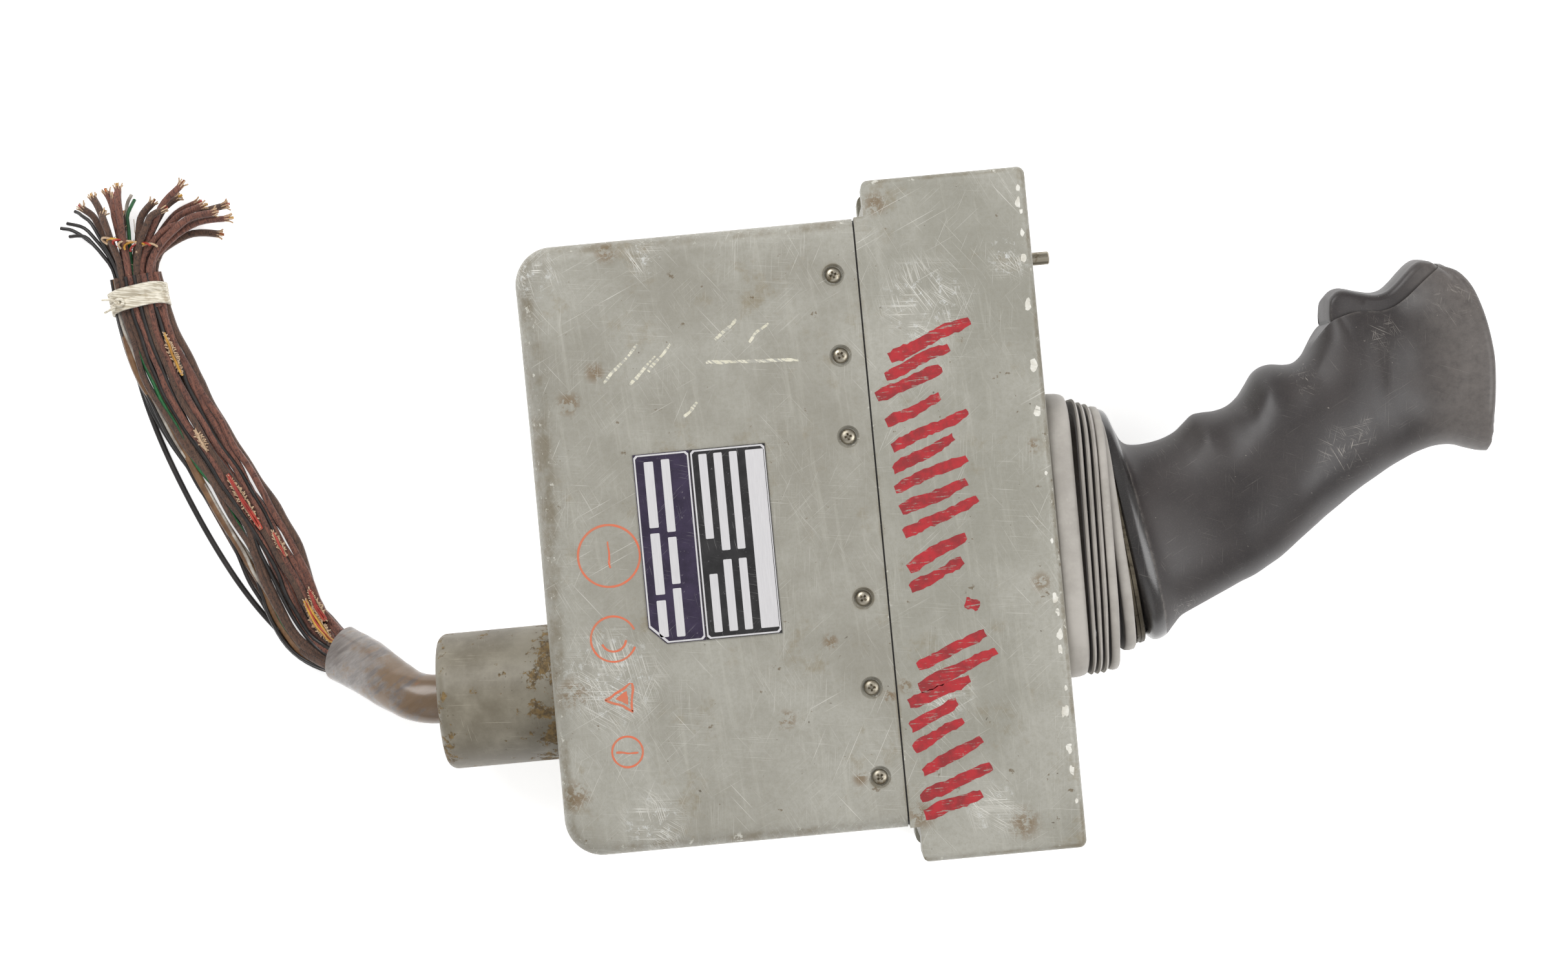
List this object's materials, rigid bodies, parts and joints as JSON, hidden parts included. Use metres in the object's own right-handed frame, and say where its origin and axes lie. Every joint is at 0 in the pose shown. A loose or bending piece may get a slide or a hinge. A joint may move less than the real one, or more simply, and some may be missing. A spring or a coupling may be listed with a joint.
{
  "type": "three-axis hand controller",
  "caption": "Three-axis pistol-grip hand controller: sealed case with dovetail ears, sprung roll, yaw and pitch grip, trigger, rubber boot and cut cable.",
  "frame": {"origin": "middle of the lower broad face of the case, on which it lies", "axes": "+X from the cable boss to the grip, +Y towards the trigger side, +Z through the thickness of the case, up off the face it lies on"},
  "size_m": [0.522, 0.2721, 0.0831],
  "materials": {
    "case_paint": "worn satin paint",
    "housing_paint": "worn satin paint",
    "grip_paint": "dark satin",
    "ring_gloss": "semi gloss",
    "boot_rubber": "matt",
    "gasket_rubber": "matt",
    "nickel": "nickel plated",
    "brass_band": "tarnished",
    "plate_dark": "anodised",
    "inner_aluminium": "machined",
    "steel": "ground",
    "canister": "satin",
    "switch_case": "moulded",
    "sleeve_tube": "translucent tubing",
    "wire_braid": "braided jackets",
    "lacing": "woven tape"
  },
  "bodies": {
    "case": {"rear_cover": "case_paint", "front_housing": "housing_paint", "housing_gasket": "gasket_rubber", "cover_screws": "nickel", "cable_boss": "case_paint", "boss_potting": "switch_case", "boss_nut": "brass_band", "id_plate_a": "plate_dark", "id_plate_b": "plate_dark", "board_standoffs": "inner_aluminium", "terminal_board": "switch_case", "lock_bushing": "brass_band", "gimbal_frame": "inner_aluminium", "frame_screws": "nickel", "roll_bearing_upper": "steel", "roll_bearing_lower": "steel", "roll_transducer": "canister", "roll_spring": "steel", "switch_bracket": "inner_aluminium", "roll_switches": "switch_case", "boot": "boot_rubber", "boot_retainer": "brass_band", "harness_sleeve": "sleeve_tube", "harness_bundle": "wire_braid", "lacing_tie": "lacing", "wire_fan": "wire_braid", "loose_wire_1": "wire_braid", "loose_wire_2": "wire_braid"},
    "lock": {"lock_shaft": "nickel", "lock_lever": "nickel"},
    "roll_gimbal": {"roll_yoke": "inner_aluminium", "roll_cam": "inner_aluminium", "yaw_bearing_rear": "steel", "yaw_bearing_front": "steel", "yaw_transducer": "canister"},
    "yaw_column": {"yaw_column": "inner_aluminium", "yaw_retainer": "inner_aluminium", "yaw_spring": "steel", "pitch_fork": "inner_aluminium", "pitch_bearing_right": "steel", "pitch_bearing_left": "steel"},
    "grip": {"grip_shell_left": "grip_paint", "grip_shell_right": "grip_paint", "grip_screws": "nickel", "grip_base_ring": "ring_gloss", "boot_clamp_band": "brass_band", "grip_frame": "inner_aluminium", "pitch_pin": "steel", "pitch_spring": "steel", "pitch_transducer": "canister", "trigger_switch": "switch_case"},
    "trigger": {"trigger": "grip_paint"},
    "plunger": {"switch_plunger": "switch_case"}
  },
  "joints": [
    {"name": "lock_turn", "type": "hinge", "parent": "case", "child": "lock", "pos_m": [0.0915, 0.0899, 0.04125], "axis": [1, 0, 0], "range_deg": [0, 60]},
    {"name": "roll", "type": "hinge", "parent": "case", "child": "roll_gimbal", "pos_m": [0.052, -0.0104, 0.04125], "axis": [0, 1, 0], "range_deg": [-11.5, 11.5], "stiffness_Nm_per_rad": 14, "deforming": ["boot", "roll_spring"]},
    {"name": "yaw", "type": "hinge", "parent": "roll_gimbal", "child": "yaw_column", "pos_m": [0.052, -0.0104, 0.04125], "axis": [1, 0, 0], "range_deg": [-11.5, 11.5], "stiffness_Nm_per_rad": 6, "deforming": ["yaw_spring"]},
    {"name": "pitch", "type": "hinge", "parent": "yaw_column", "child": "grip", "pos_m": [0.172, 0.003, 0.04125], "axis": [0, 0, 1], "range_deg": [-11.5, 11.5], "stiffness_Nm_per_rad": 6, "deforming": ["pitch_spring"]},
    {"name": "trigger_squeeze", "type": "hinge", "parent": "grip", "child": "trigger", "pos_m": [0.2108, 0.0592, 0.04125], "axis": [0, 0, -1], "range_deg": [0, 3.5], "stiffness_Nm_per_rad": 2, "springref_deg": -2.86},
    {"name": "plunger_press", "type": "slide", "parent": "grip", "child": "plunger", "axis": [0, -1, 0], "range_m": [0, 0.0011]}
  ],
  "couplings": [
    {"joint": "plunger_press", "follows": "trigger_squeeze", "m_per_rad": 0.0152}
  ]
}
